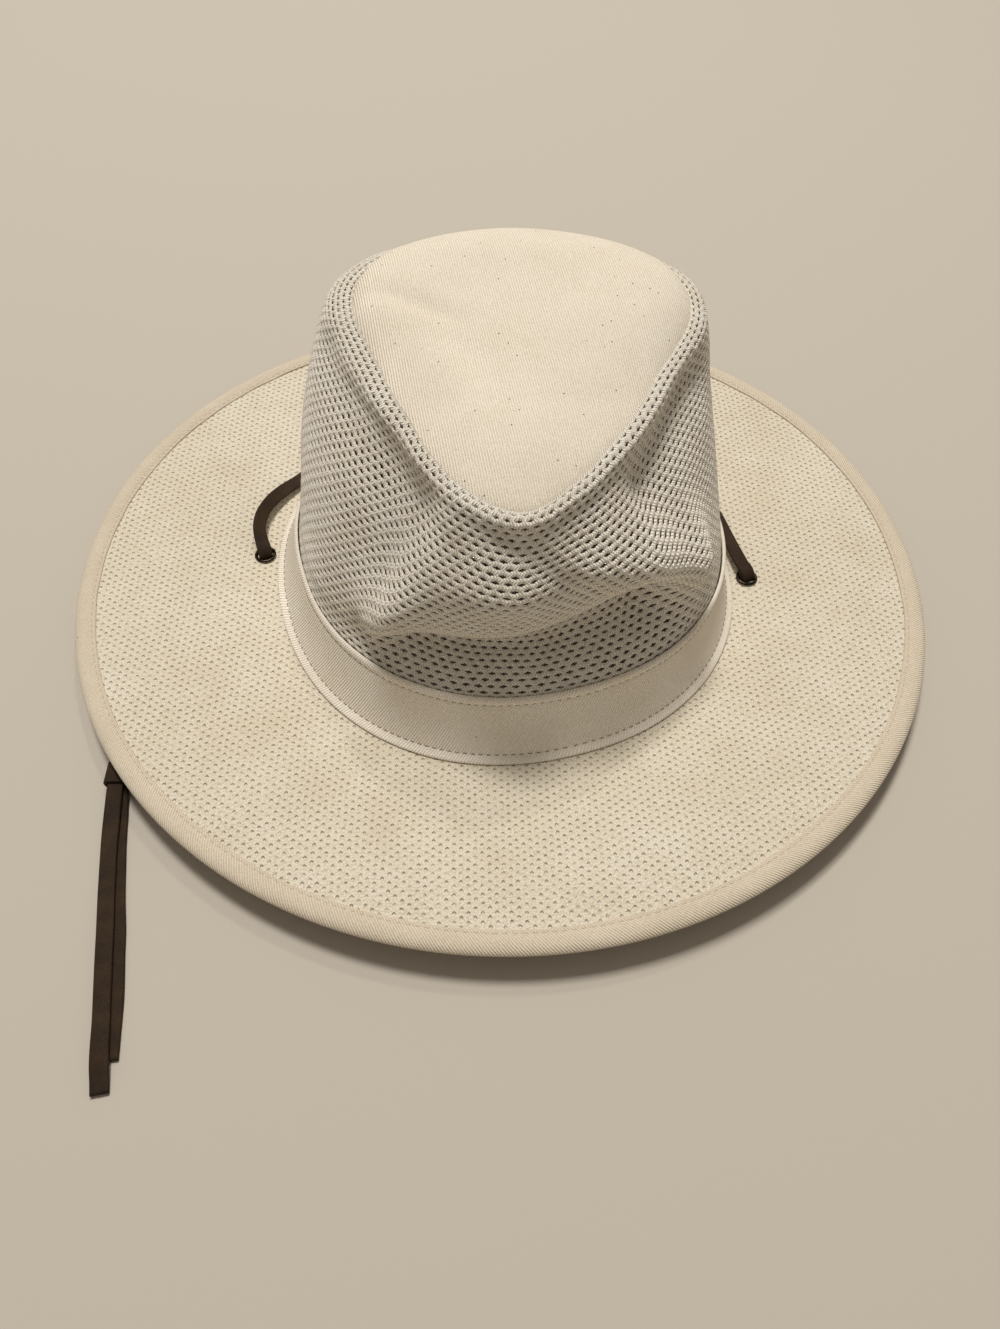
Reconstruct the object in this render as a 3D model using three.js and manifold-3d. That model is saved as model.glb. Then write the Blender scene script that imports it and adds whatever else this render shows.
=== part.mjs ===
// Safari hat: mesh crown with a twill top, twill band, stiff brim with a bound rim, and a leather chin lace.
// Millimetres, +Z up, the front of the hat towards -Y, the origin on the floor under the middle of the brim.
import * as THREE from "three";
import { mergeVertices } from "three/addons/utils/BufferGeometryUtils.js";
import Module from "manifold-3d";

const wasm = await Module();
wasm.setup();

// Driving dimensions
const gap = 0.3; // between neighbouring pieces
const ringSteps = 60; // facets round the hat
const rim = { halfWidth: 180, halfLength: 173.3, exponent: 2.02 };
const rimLevel = { height: 7.4, sideLift: 2.9, frontLift: 5.6, frontReach: 2.1 }; // the front stands highest
const crownFoot = { halfWidth: 92.2, halfLength: 94.7, exponent: 2.17, turn: 14, x: 0.4, y: 0.5, z: 6.3 };
const crownWaist = { halfWidth: 87.0, halfLength: 87.2, exponent: 2.17, turn: 16, x: 2.3, y: 2.9, z: 31 };
const crownAxis = { x: 3.4, y: 10.5 }; // the tip seam is laid out round this upright line
const brimCloth = 2.0;
const crownCloth = 1.5;
const bandCloth = 1.2;
const brimRoot = 6; // top of the brim where the crown stands on it
const hem = { width: 5, slope: 3.5 }; // flat turned edge of the brim that the hat stands on
const binding = { width: 8.6, halfHeight: 2.5, cloth: 1.2 };
const eyelet = { bore: 6.6, barrel: 7.4, flange: 9.4, hole: 8.0, cloth: 0.7 };
const eyeletPlaces = { left: { x: -104.5, y: 6.1 }, right: { x: 106.7, y: -8.2 } };
const lace = { width: 5.8, thickness: 1.4 };
const slide = { width: 11.2, height: 5.9, length: 9, cloth: 1.1, x: -145.9, y: -101, z: 3.05, heading: -90 };

// The seam between the tip and the side: its distance from the crown's axis and its height, by compass
// angle from +X, and how far the mesh rolls outward past it.
const tipSeam = [
  { angle: 0, reach: 58.3, height: 111.2, roll: 9 },
  { angle: 15, reach: 67.5, height: 112.3, roll: 7 },
  { angle: 30, reach: 74.5, height: 112.4, roll: 5 },
  { angle: 45, reach: 76.5, height: 110.6, roll: 4.5 },
  { angle: 60, reach: 75.8, height: 109.4, roll: 4.5 },
  { angle: 75, reach: 74.8, height: 108.8, roll: 5 },
  { angle: 90, reach: 74.5, height: 108.7, roll: 5 },
  { angle: 105, reach: 74.5, height: 108.8, roll: 5 },
  { angle: 120, reach: 75.0, height: 109.4, roll: 6 },
  { angle: 135, reach: 74.5, height: 110.8, roll: 8 },
  { angle: 150, reach: 70.0, height: 112.3, roll: 11 },
  { angle: 165, reach: 62.2, height: 112.2, roll: 13 },
  { angle: 180, reach: 54.5, height: 111.2, roll: 13.5 },
  { angle: 195, reach: 51.1, height: 110.3, roll: 11 },
  { angle: 210, reach: 51.4, height: 109.1, roll: 8 },
  { angle: 225, reach: 53.8, height: 107.6, roll: 6 },
  { angle: 240, reach: 60.7, height: 105.6, roll: 5 },
  { angle: 255, reach: 69.2, height: 103.3, roll: 4.5 },
  { angle: 270, reach: 74.6, height: 102.1, roll: 4 },
  { angle: 285, reach: 65.6, height: 103.9, roll: 4.5 },
  { angle: 300, reach: 57.2, height: 106.0, roll: 5 },
  { angle: 315, reach: 53.2, height: 107.7, roll: 6 },
  { angle: 330, reach: 51.3, height: 109.0, roll: 7 },
  { angle: 345, reach: 52.3, height: 110.2, roll: 8.5 },
];

// Dents and ridges of the side, each along a line on the unrolled wall. The line starts and ends at a
// compass angle and a height and bows up between them. The fold pushes the cloth out (in where negative)
// over its half-width each side of the line.
const degreeOfWall = 1.25; // millimetres of cloth to a degree
const sideFolds = [
  { name: "low front hollow", from: [238, 34], to: [306, 47], bow: 1, push: -14, halfWidth: 12 },
  { name: "ridge over the hollow", from: [234, 52], to: [322, 58], bow: 25, push: 6, halfWidth: 13 },
  { name: "nose", from: [254, 84], to: [266, 79], bow: 0, push: 3, halfWidth: 11 },
  { name: "left cheek edge", from: [250, 95], to: [232, 36], bow: 0, push: 4, halfWidth: 7 },
  { name: "left pinch under the seam", from: [172, 104], to: [246, 91], bow: 0, push: -3.6, halfWidth: 9 },
  { name: "right pinch under the seam", from: [356, 102], to: [312, 92], bow: 0, push: -5, halfWidth: 9 },
  { name: "crease beside the nose", from: [266, 95], to: [286, 74], bow: 0, push: -2.4, halfWidth: 5 },
  { name: "right cheek", from: [292, 81], to: [322, 62], bow: 0, push: 5.2, halfWidth: 13 },
  { name: "left wall", from: [145, 76], to: [205, 70], bow: 0, push: 4.8, halfWidth: 30 },
  { name: "right wall", from: [340, 68], to: [20, 68], bow: 0, push: 1.8, halfWidth: 26 },
];

// Swell of the tip at its front and what its back adds, then its dents: centre, half-spreads along and
// across a line turned by `turn`, and lift.
const tipSwell = { front: 3.5, back: 8.7 };
const tipFolds = [
  { name: "crease from the back left corner", x: -41, y: 29, along: 22, across: 4.5, turn: -22, lift: -2.2 },
  { name: "crease turning forward", x: -17, y: 6, along: 24, across: 7, turn: -62, lift: -2.2 },
  { name: "shallow bowl", x: -4, y: 14, along: 38, across: 26, turn: -60, lift: -3.5 },
];

const radians = THREE.MathUtils.degToRad;
const lerp = THREE.MathUtils.lerp;
const bump = (distance, spread) => Math.exp(-((distance / spread) ** 2));

// Point of an oval ring on the side that faces `angle`, the ring widened by `grow`.
function ovalPoint(ring, angle, grow = 0) {
  const turn = radians(ring.turn ?? 0);
  const c = Math.cos(radians(angle) - turn);
  const s = Math.sin(radians(angle) - turn);
  const power = 2 / ring.exponent;
  const x = (ring.halfWidth + grow) * Math.sign(c) * Math.abs(c) ** power;
  const y = (ring.halfLength + grow) * Math.sign(s) * Math.abs(s) ** power;
  return new THREE.Vector2(x, y)
    .rotateAround(new THREE.Vector2(), turn)
    .add(new THREE.Vector2(ring.x ?? 0, ring.y ?? 0));
}

// Value of a column of a table whose rows go round the compass, on a smooth closed curve.
function around(table, column, angle) {
  const step = 360 / table.length;
  const place = (((angle % 360) + 360) % 360) / step;
  const k = Math.floor(place);
  const t = place - k;
  const [a, b, c, d] = [-1, 0, 1, 2].map((n) => table[(k + n + table.length) % table.length][column]);
  const slopeB = (c - a) / 2;
  const slopeC = (d - b) / 2;
  const fromB = b * (1 + 2 * t) * (1 - t) ** 2 + slopeB * t * (1 - t) ** 2;
  return fromB + c * t * t * (3 - 2 * t) + slopeC * t * t * (t - 1);
}

const turnBetween = (a, b) => ((((a - b) % 360) + 540) % 360) - 180;

// Push of one fold at a place on the side.
function folding(fold, angle, height) {
  const [fromAngle, fromHeight] = fold.from;
  const [toAngle, toHeight] = fold.to;
  const along = new THREE.Vector2(turnBetween(toAngle, fromAngle) * degreeOfWall, toHeight - fromHeight);
  const place = new THREE.Vector2(turnBetween(angle, fromAngle) * degreeOfWall, height - fromHeight);
  const t = THREE.MathUtils.clamp(place.dot(along) / along.lengthSq(), 0, 1);
  const aside = place.addScaledVector(along, -t);
  aside.y -= fold.bow * 4 * t * (1 - t);
  return fold.push * bump(aside.length(), fold.halfWidth);
}

// Outside of the crown's side. v is 0 at the foot, 1 where the cloth leaves the band and 2 at the tip seam.
function sidePoint(angle, v) {
  const foot = ovalPoint(crownFoot, angle);
  const waist = ovalPoint(crownWaist, angle);
  if (v <= 1) {
    const flat = foot.clone().lerp(waist, v);
    return new THREE.Vector3(flat.x, flat.y, lerp(crownFoot.z, crownWaist.z, v));
  }
  const out = new THREE.Vector2(Math.cos(radians(angle)), Math.sin(radians(angle)));
  const reach = around(tipSeam, "reach", angle);
  const height = around(tipSeam, "height", angle);
  const roll = around(tipSeam, "roll", angle);
  const seamward = (outset, drop) =>
    new THREE.Vector3(
      crownAxis.x + out.x * (reach + outset),
      crownAxis.y + out.y * (reach + outset),
      height - drop,
    );
  const wall = new THREE.CatmullRomCurve3(
    [
      new THREE.Vector3(foot.x, foot.y, crownFoot.z),
      new THREE.Vector3(waist.x, waist.y, crownWaist.z),
      new THREE.Vector3(waist.x, waist.y, crownWaist.z).lerp(seamward(roll, roll * 0.9), 0.5),
      seamward(roll, roll * 0.9),
      seamward(roll * 0.62, roll * 0.12),
      seamward(0, 0),
    ],
    false,
    "centripetal",
  );
  const point = wall.getPoint(0.2 + 0.8 * (v - 1));
  const fade = Math.min(1, (2 - v) * 6) * Math.min(1, (v - 1) * 14);
  for (const fold of sideFolds) {
    const push = folding(fold, angle, point.z) * fade;
    point.x += out.x * push;
    point.y += out.y * push;
  }
  return point;
}

// Outside of the tip. s is 1 at the seam and 0 in the middle.
function tipPoint(angle, s) {
  const out = new THREE.Vector2(Math.cos(radians(angle)), Math.sin(radians(angle)));
  const reach = (around(tipSeam, "reach", angle) - gap) * s;
  const x = crownAxis.x + out.x * reach;
  const y = crownAxis.y + out.y * reach;
  const back = THREE.MathUtils.clamp((y + 20) / 75, 0, 1);
  const swell = (tipSwell.front + tipSwell.back * back) * (1 - s ** (3 + 7 * back));
  let z = lerp(112, around(tipSeam, "height", angle), s * s) + swell;
  for (const fold of tipFolds) {
    const dx = x - fold.x;
    const dy = y - fold.y;
    const turn = radians(fold.turn);
    const along = dx * Math.cos(turn) + dy * Math.sin(turn);
    const across = dy * Math.cos(turn) - dx * Math.sin(turn);
    z += fold.lift * bump(along, fold.along) * bump(across, fold.across) * (1 - s ** 4);
  }
  return new THREE.Vector3(x, y, z);
}

// A point `depth` under a surface given as a function of angle and one more number.
function under(surface, angle, v, depth, step = 0.01) {
  const point = surface(angle, v);
  if (depth === 0) return point;
  const ahead = surface(angle + 1, v).sub(surface(angle - 1, v));
  const up = surface(angle, Math.min(v + step, 2)).sub(surface(angle, Math.max(v - step, 0)));
  return point.addScaledVector(ahead.cross(up).normalize(), -depth);
}

const rimHeight = (angle) => {
  const side = Math.cos(radians(angle)) ** 2;
  const front = Math.min(0, Math.sin(radians(angle))) ** 2;
  return rimLevel.height + rimLevel.sideLift * side + rimLevel.frontLift * front;
};

// Point of the rim, or of an oval `off` outside it, which reaches a little further at the front.
function rimPoint(angle, off) {
  const flat = ovalPoint(rim, angle, off);
  flat.y -= rimLevel.frontReach * Math.min(0, Math.sin(radians(angle))) ** 4;
  return flat;
}

// Turns a closed profile round the hat. place(angle, a, b) says where the profile's point (a, b) lies.
// A profile that starts and ends on the axis is given a shift of 0.
function turned(profile, place, shift = 1000) {
  const points = profile.map(([a, b]) => new THREE.Vector2(a + shift, b));
  if (shift) points.push(points[0].clone());
  const geometry = new THREE.LatheGeometry(points, ringSteps);
  geometry.deleteAttribute("normal");
  geometry.deleteAttribute("uv");
  const position = geometry.getAttribute("position");
  for (let i = 0; i < position.count; i++) {
    const across = Math.hypot(position.getX(i), position.getZ(i));
    const angle = THREE.MathUtils.radToDeg(Math.atan2(position.getX(i), position.getZ(i)));
    const spot = place(Math.round(angle), Math.round((across - shift) * 1000) / 1000, position.getY(i));
    position.setXYZ(i, spot.x, spot.y, spot.z);
  }
  return facingOut(mergeVertices(geometry, 1e-3));
}

const toSolid = (geometry) =>
  new wasm.Manifold(
    new wasm.Mesh({
      numProp: 3,
      vertProperties: new Float32Array(geometry.getAttribute("position").array),
      triVerts: new Uint32Array(geometry.index.array),
    }),
  );

// Drops the flat triangles that merging leaves on an axis and turns an inside-out mesh round.
function facingOut(geometry) {
  const index = Array.from(geometry.index.array);
  const kept = [];
  for (let i = 0; i < index.length; i += 3) {
    const [a, b, c] = index.slice(i, i + 3);
    if (a !== b && b !== c && c !== a) kept.push(a, b, c);
  }
  geometry.setIndex(kept);
  if (toSolid(geometry).volume() < 0) geometry.setIndex(kept.reverse());
  return geometry;
}

function fromSolid(solid) {
  const mesh = solid.getMesh();
  const geometry = new THREE.BufferGeometry();
  geometry.setAttribute("position", new THREE.BufferAttribute(mesh.vertProperties, 3));
  geometry.setIndex(Array.from(mesh.triVerts));
  return geometry;
}

const materials = {
  twill: { color: 0xeee0c6, roughness: 0.85, metalness: 0 },
  crownMesh: { color: 0xded2b8, roughness: 0.9, metalness: 0 },
  brimMesh: { color: 0xe8d9b8, roughness: 0.9, metalness: 0 },
  darkMetal: { color: 0x1f1a17, roughness: 0.3, metalness: 0.9 },
  leather: { color: 0x2a1a14, roughness: 0.75, metalness: 0 },
};

function piece(name, geometry, material) {
  const mesh = new THREE.Mesh(geometry, new THREE.MeshStandardMaterial(materials[material]));
  mesh.geometry.computeVertexNormals();
  mesh.name = name;
  return mesh;
}

function crownSide() {
  const levels = [0, 0.5, 1, 1.12, 1.24, 1.36, 1.48, 1.6, 1.72, 1.82, 1.9, 1.95, 2];
  const profile = [...levels.map((v) => [v, 0]), ...levels.toReversed().map((v) => [v, 1])];
  return turned(profile, (angle, v, side) => {
    const outside = sidePoint(angle, v);
    if (side < 0.5) return outside;
    if (v > 1.9) return outside.setZ(outside.z - crownCloth);
    const inside = under(sidePoint, angle, v, crownCloth);
    return v === 0 ? inside.setZ(crownFoot.z) : inside;
  });
}

function crownTip() {
  const rings = [0, 0.25, 0.5, 0.75, 0.92, 1];
  const profile = [...rings.map((s) => [s, 1]), ...rings.toReversed().map((s) => [s, 0])];
  const place = (angle, s, side) => {
    const point = tipPoint(angle, s);
    return point.setZ(point.z - (side > 0.5 ? 0 : crownCloth));
  };
  return turned(profile, place, 0);
}

// Band: each profile point is how far it stands off the crown's side, and its height.
function hatBand() {
  const foot = crownFoot.z + 0.1;
  const top = crownWaist.z;
  const skin = gap + bandCloth;
  const profile = [
    [gap, foot],
    [skin + 3.6, foot],
    [skin + 4.4, foot + 0.6],
    [skin + 2.9, foot + 1.7],
    [skin + 1.7, foot + 2.8],
    [skin + 0.7, foot + 8.6],
    [skin + 0.1, foot + 14.6],
    [skin + 0.1, top - 2.6],
    [skin + 0.6, top - 1.5],
    [skin + 0.3, top],
    [gap, top],
  ];
  return turned(profile, (angle, off, height) => {
    const v = (height - crownFoot.z) / (crownWaist.z - crownFoot.z);
    const flat = ovalPoint(crownFoot, angle, off).lerp(ovalPoint(crownWaist, angle, off), v);
    return new THREE.Vector3(flat.x, flat.y, height);
  });
}

// Brim: each profile point is its distance from the head opening, and 1 on top or 0 underneath.
const brimRun = rim.halfWidth - crownFoot.halfWidth + crownCloth - 2.6;

function brimPoint(angle, run, side) {
  const inner = ovalPoint(crownFoot, angle, -crownCloth);
  const flat = inner.lerp(rimPoint(angle, -2.6), run / brimRun);
  const climb = THREE.MathUtils.smoothstep(run, 0, brimRun - binding.width);
  const top = lerp(brimRoot, rimHeight(angle) + brimCloth / 2, climb);
  const cloth = THREE.MathUtils.clamp((run - hem.width) / hem.slope, 0, 1);
  const bottom = (top - brimCloth) * cloth;
  return new THREE.Vector3(flat.x, flat.y, side > 0.5 ? top : bottom);
}

function brim() {
  const runs = [0, hem.width, hem.width + hem.slope, 22, 38, 54, 68, brimRun - binding.width, brimRun];
  const profile = [...runs.map((run) => [run, 0]), ...runs.toReversed().map((run) => [run, 1])];
  let solid = toSolid(turned(profile, brimPoint));
  for (const place of Object.values(eyeletPlaces)) {
    const drill = new THREE.CylinderGeometry(eyelet.hole / 2, eyelet.hole / 2, 30, 20);
    drill.deleteAttribute("normal");
    drill.deleteAttribute("uv");
    drill.rotateX(Math.PI / 2);
    drill.translate(place.x, place.y, 5);
    solid = solid.subtract(toSolid(mergeVertices(drill)));
  }
  return fromSolid(solid);
}

// Binding: a channel round the rim. Each profile point is its distance in from the rim, and its height.
function brimBinding() {
  const half = binding.halfHeight;
  const slot = brimCloth / 2 + gap;
  const floor = 2.6 - gap;
  const profile = [
    [-binding.width, slot],
    [-floor, slot],
    [-floor, -slot],
    [-binding.width, -slot],
    [-binding.width + 0.4, -slot - 0.8],
    [-4.6, -half],
    [-1.5, -half + 0.5],
    [0, -0.8],
    [0, 0.8],
    [-1.5, half - 0.5],
    [-4.6, half],
    [-binding.width + 0.4, slot + 0.8],
  ];
  return turned(profile, (angle, off, height) => {
    const flat = rimPoint(angle, off);
    return new THREE.Vector3(flat.x, flat.y, rimHeight(angle) + height);
  });
}

// Grommet: a barrel with a rolled flange above and below the brim.
function grommet(place) {
  const angle = THREE.MathUtils.radToDeg(Math.atan2(place.y, place.x));
  const run = Math.hypot(place.x, place.y) - ovalPoint(crownFoot, angle, -crownCloth).length();
  const above = brimPoint(angle, run + eyelet.flange / 2, 1).z + gap;
  const below = brimPoint(angle, run - eyelet.flange / 2, 0).z - gap;
  const [bore, barrel, flange] = [eyelet.bore / 2, eyelet.barrel / 2, eyelet.flange / 2];
  const profile = [
    [bore, below - eyelet.cloth + 0.2],
    [bore + 0.3, below - eyelet.cloth],
    [flange - 0.3, below - eyelet.cloth],
    [flange, below - 0.1],
    [barrel, below],
    [barrel, above],
    [flange, above + 0.1],
    [flange - 0.3, above + eyelet.cloth],
    [bore + 0.3, above + eyelet.cloth],
    [bore, above + eyelet.cloth - 0.2],
  ];
  const points = [...profile, profile[0]].map(([r, z]) => new THREE.Vector2(r, z));
  const geometry = new THREE.LatheGeometry(points, 20);
  geometry.deleteAttribute("normal");
  geometry.deleteAttribute("uv");
  geometry.rotateX(Math.PI / 2);
  geometry.translate(place.x, place.y, 0);
  return facingOut(mergeVertices(geometry, 1e-3));
}

// Flat lace along a route, with one stretch of the solid from each row to the next. A row is a point and
// how far the lace's upper face leans to the right of the way it runs, in degrees.
class LaceCurve extends THREE.CatmullRomCurve3 {
  constructor(route) {
    super(route.map((row) => new THREE.Vector3(row.x, row.y, row.z)), false, "centripetal");
    this.leans = route.map((row) => row.lean ?? 0);
  }

  getUtoTmapping(u) {
    return u;
  }

  leanAt(t) {
    const place = t * (this.leans.length - 1);
    const k = Math.min(Math.floor(place), this.leans.length - 2);
    return lerp(this.leans[k], this.leans[k + 1], place - k);
  }

  computeFrenetFrames(segments) {
    const tangents = Array.from({ length: segments + 1 }, (_, i) => this.getTangent(i / segments));
    const normals = [];
    const settle = (i, from) => {
      const level = new THREE.Vector3(0, 0, 1).applyAxisAngle(tangents[i], radians(this.leanAt(i / segments)));
      const upright = Math.abs(tangents[i].z) > 0.75 && normals[from];
      const swing = new THREE.Quaternion().setFromUnitVectors(tangents[from] ?? tangents[i], tangents[i]);
      const face = upright ? normals[from].clone().applyQuaternion(swing) : level;
      normals[i] = face.addScaledVector(tangents[i], -face.dot(tangents[i])).normalize();
    };
    const middle = Math.round(segments / 2);
    for (let i = middle; i <= segments; i++) settle(i, i - 1);
    for (let i = middle - 1; i >= 0; i--) settle(i, i + 1);
    return { tangents, normals, binormals: tangents.map((tangent, i) => tangent.clone().cross(normals[i])) };
  }
}

function flatLace(route) {
  const [w, t] = [lace.width / 2, lace.thickness / 2];
  const corner = [w - 0.6, t / 2];
  const section = [
    [t, -corner[0]],
    [t, corner[0]],
    [corner[1], w],
    [-corner[1], w],
    [-t, corner[0]],
    [-t, -corner[0]],
    [-corner[1], -w],
    [corner[1], -w],
  ];
  const shape = new THREE.Shape(section.map(([x, y]) => new THREE.Vector2(x, y)));
  const options = { steps: route.length - 1, bevelEnabled: false, extrudePath: new LaceCurve(route) };
  const geometry = new THREE.ExtrudeGeometry(shape, options);
  geometry.deleteAttribute("normal");
  geometry.deleteAttribute("uv");
  return facingOut(mergeVertices(geometry, 1e-3));
}

// The lace: down through an eyelet at each end of the stretch on top, then under the brim to the slide.
const laceOnTop = [
  { x: -104.5, y: 6.1, z: 4.9 },
  { x: -104.5, y: 6.1, z: 7.4 },
  { x: -104.9, y: 7.6, z: 9.6, lean: 5 },
  { x: -106, y: 10.6, z: 11.3, lean: 20 },
  { x: -107.6, y: 17.5, z: 12.6, lean: 38 },
  { x: -107.3, y: 26, z: 12.4, lean: 42 },
  { x: -104.7, y: 34.5, z: 11.6, lean: 36 },
  { x: -100.3, y: 42.5, z: 10.4, lean: 24 },
  { x: -94, y: 51, z: 8.9, lean: 10 },
  { x: -80.1, y: 70.2, z: 8 },
  { x: -64.8, y: 84.2, z: 7.5 },
  { x: -44.3, y: 95.7, z: 7.5 },
  { x: -18.4, y: 103.6, z: 7.5 },
  { x: 6.2, y: 106, z: 7.5 },
  { x: 28.9, y: 103, z: 7.5 },
  { x: 49.6, y: 94.8, z: 7.5 },
  { x: 67.7, y: 81.9, z: 7.5 },
  { x: 81.6, y: 66.1, z: 7.5 },
  { x: 91.6, y: 48.6, z: 7.5 },
  { x: 97.8, y: 31.9, z: 8 },
  { x: 101.2, y: 14.5, z: 9.3 },
  { x: 102.7, y: 5.5, z: 10.4 },
  { x: 104.3, y: -2, z: 10.7 },
  { x: 105.9, y: -6.4, z: 9.9 },
  { x: 106.7, y: -8.2, z: 7.6 },
  { x: 106.7, y: -8.2, z: 4.9 },
];

const laceFromLeft = [
  { x: -104.5, y: 6.1, z: 4.6 },
  { x: -104.5, y: 6.1, z: 3.4 },
  { x: -104.6, y: 5.3, z: 1.7 },
  { x: -104.9, y: 3.3, z: 0.8 },
  { x: -107, y: -6, z: 0.8 },
  { x: -112, y: -22, z: 0.8 },
  { x: -120, y: -42, z: 0.8 },
  { x: -130, y: -61, z: 0.9 },
  { x: -138, y: -76, z: 2.4 },
  { x: -143.5, y: -87, z: 3.7 },
  { x: -146.1, y: -96, z: 3.9 },
  { x: -146.7, y: -106, z: 3.9 },
  { x: -145.6, y: -119.8, z: 2.8 },
  { x: -143.7, y: -134, z: 2.5 },
  { x: -141, y: -150, z: 2.5 },
  { x: -138.4, y: -164, z: 2.5 },
  { x: -135.9, y: -178, z: 2.5 },
  { x: -134, y: -188.5, z: 2.5 },
  { x: -131.4, y: -203.5, z: 2.5 },
  { x: -130.5, y: -208.3, z: 1.5 },
  { x: -129.8, y: -212.3, z: 0.8 },
];

const laceFromRight = [
  { x: 106.7, y: -8.2, z: 4.6 },
  { x: 106.7, y: -8.2, z: 3.4 },
  { x: 106.6, y: -9, z: 1.7 },
  { x: 106.3, y: -11, z: 0.8 },
  { x: 106, y: -24, z: 0.8 },
  { x: 101, y: -48, z: 0.8 },
  { x: 89, y: -74, z: 0.8 },
  { x: 69, y: -97, z: 0.8 },
  { x: 40, y: -114, z: 0.8 },
  { x: 6, y: -122, z: 0.8 },
  { x: -30, y: -120, z: 0.8 },
  { x: -64, y: -110, z: 0.8 },
  { x: -94, y: -96, z: 0.8 },
  { x: -116, y: -85.5, z: 0.8 },
  { x: -129, y: -81.8, z: 0.8 },
  { x: -138, y: -84, z: 0.8 },
  { x: -143, y: -90, z: 1.5 },
  { x: -144.9, y: -96, z: 2.2 },
  { x: -145.1, y: -106.5, z: 2.2 },
  { x: -143.4, y: -118.7, z: 0.8 },
  { x: -141.6, y: -130.6, z: 0.8 },
  { x: -138.2, y: -148.3, z: 0.8 },
  { x: -135.5, y: -160.1, z: 0.8 },
  { x: -133.7, y: -170.4, z: 0.8 },
  { x: -131.6, y: -181.6, z: 0.8 },
  { x: -130.5, y: -189.9, z: 0.8 },
  { x: -129, y: -202.5, z: 0.8 },
];

// Slide: a flat sleeve of leather, a rounded rectangle with a rounded hole.
function laceSlide() {
  const outline = (shape, width, height, corner) => {
    const [x, y, r] = [width / 2, height / 2, corner];
    shape.moveTo(-x + r, -y).lineTo(x - r, -y).quadraticCurveTo(x, -y, x, -y + r).lineTo(x, y - r);
    shape.quadraticCurveTo(x, y, x - r, y).lineTo(-x + r, y).quadraticCurveTo(-x, y, -x, y - r);
    shape.lineTo(-x, -y + r).quadraticCurveTo(-x, -y, -x + r, -y);
    return shape;
  };
  const shape = outline(new THREE.Shape(), slide.width, slide.height, 1.6);
  const inner = [slide.width - 2 * slide.cloth, slide.height - 2 * slide.cloth];
  shape.holes.push(outline(new THREE.Path(), inner[0], inner[1], 0.8));
  const options = { depth: slide.length, bevelEnabled: false, curveSegments: 3 };
  const geometry = new THREE.ExtrudeGeometry(shape, options);
  geometry.deleteAttribute("normal");
  geometry.deleteAttribute("uv");
  geometry.translate(0, 0, -slide.length / 2);
  geometry.rotateX(Math.PI / 2);
  geometry.rotateZ(radians(slide.heading - 90));
  geometry.translate(slide.x, slide.y, slide.z);
  return facingOut(mergeVertices(geometry, 1e-3));
}

const hat = new THREE.Group();
hat.name = "safari_hat";
hat.add(piece("crown_tip", crownTip(), "twill"));
hat.add(piece("crown_side", crownSide(), "crownMesh"));
hat.add(piece("hat_band", hatBand(), "twill"));
hat.add(piece("brim", brim(), "brimMesh"));
hat.add(piece("brim_binding", brimBinding(), "twill"));
hat.add(piece("eyelet_left", grommet(eyeletPlaces.left), "darkMetal"));
hat.add(piece("eyelet_right", grommet(eyeletPlaces.right), "darkMetal"));
hat.add(piece("chin_lace_back", flatLace(laceOnTop), "leather"));
hat.add(piece("chin_lace_left", flatLace(laceFromLeft), "leather"));
hat.add(piece("chin_lace_right", flatLace(laceFromRight), "leather"));
hat.add(piece("lace_slide", laceSlide(), "leather"));

export default hat;
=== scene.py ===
import math

import bmesh
import bpy
import numpy as np
from mathutils import Matrix, Quaternion, Vector, noise


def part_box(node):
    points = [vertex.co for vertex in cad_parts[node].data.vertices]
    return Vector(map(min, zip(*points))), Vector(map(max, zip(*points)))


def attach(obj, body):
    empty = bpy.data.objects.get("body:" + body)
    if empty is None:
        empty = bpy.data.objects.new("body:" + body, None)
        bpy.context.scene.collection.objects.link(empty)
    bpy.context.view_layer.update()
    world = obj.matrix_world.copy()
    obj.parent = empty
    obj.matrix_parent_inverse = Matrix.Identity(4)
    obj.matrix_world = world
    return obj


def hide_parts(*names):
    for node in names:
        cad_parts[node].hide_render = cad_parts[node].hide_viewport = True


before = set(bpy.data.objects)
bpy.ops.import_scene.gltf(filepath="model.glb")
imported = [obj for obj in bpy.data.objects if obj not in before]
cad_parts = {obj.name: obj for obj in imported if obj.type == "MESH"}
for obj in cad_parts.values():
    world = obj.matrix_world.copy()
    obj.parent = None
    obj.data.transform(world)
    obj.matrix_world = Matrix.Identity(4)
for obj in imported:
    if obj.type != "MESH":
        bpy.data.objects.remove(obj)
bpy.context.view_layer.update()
mm = 0.001
noise.seed_set(5)  # the same unevenness in each run
print("safari hat: CAD frame loaded")


# small helpers shared by every piece

def linearColour(code):
    channels = [int(code[i:i + 2], 16) / 255 for i in (1, 3, 5)]
    return tuple(c / 12.92 if c <= 0.04045 else ((c + 0.055) / 1.055) ** 2.4 for c in channels) + (1.0,)


def addNode(tree, kind, inputs=None, **settings):
    # an input is a value, a socket, or a node whose first output is meant
    node = tree.nodes.new(kind)
    for key, value in settings.items():
        setattr(node, key, value)
    for key, value in (inputs or {}).items():
        if isinstance(value, bpy.types.Node):
            value = value.outputs[0]
        if isinstance(value, bpy.types.NodeSocket):
            tree.links.new(value, node.inputs[key])
        else:
            node.inputs[key].default_value = value
    return node


def weigh(tree, start, *patterns):
    # start plus each pattern times its weight
    for pattern, weight in patterns:
        start = addNode(tree, "ShaderNodeMath", {0: pattern, 1: weight, 2: start}, operation="MULTIPLY_ADD")
    return start


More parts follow.
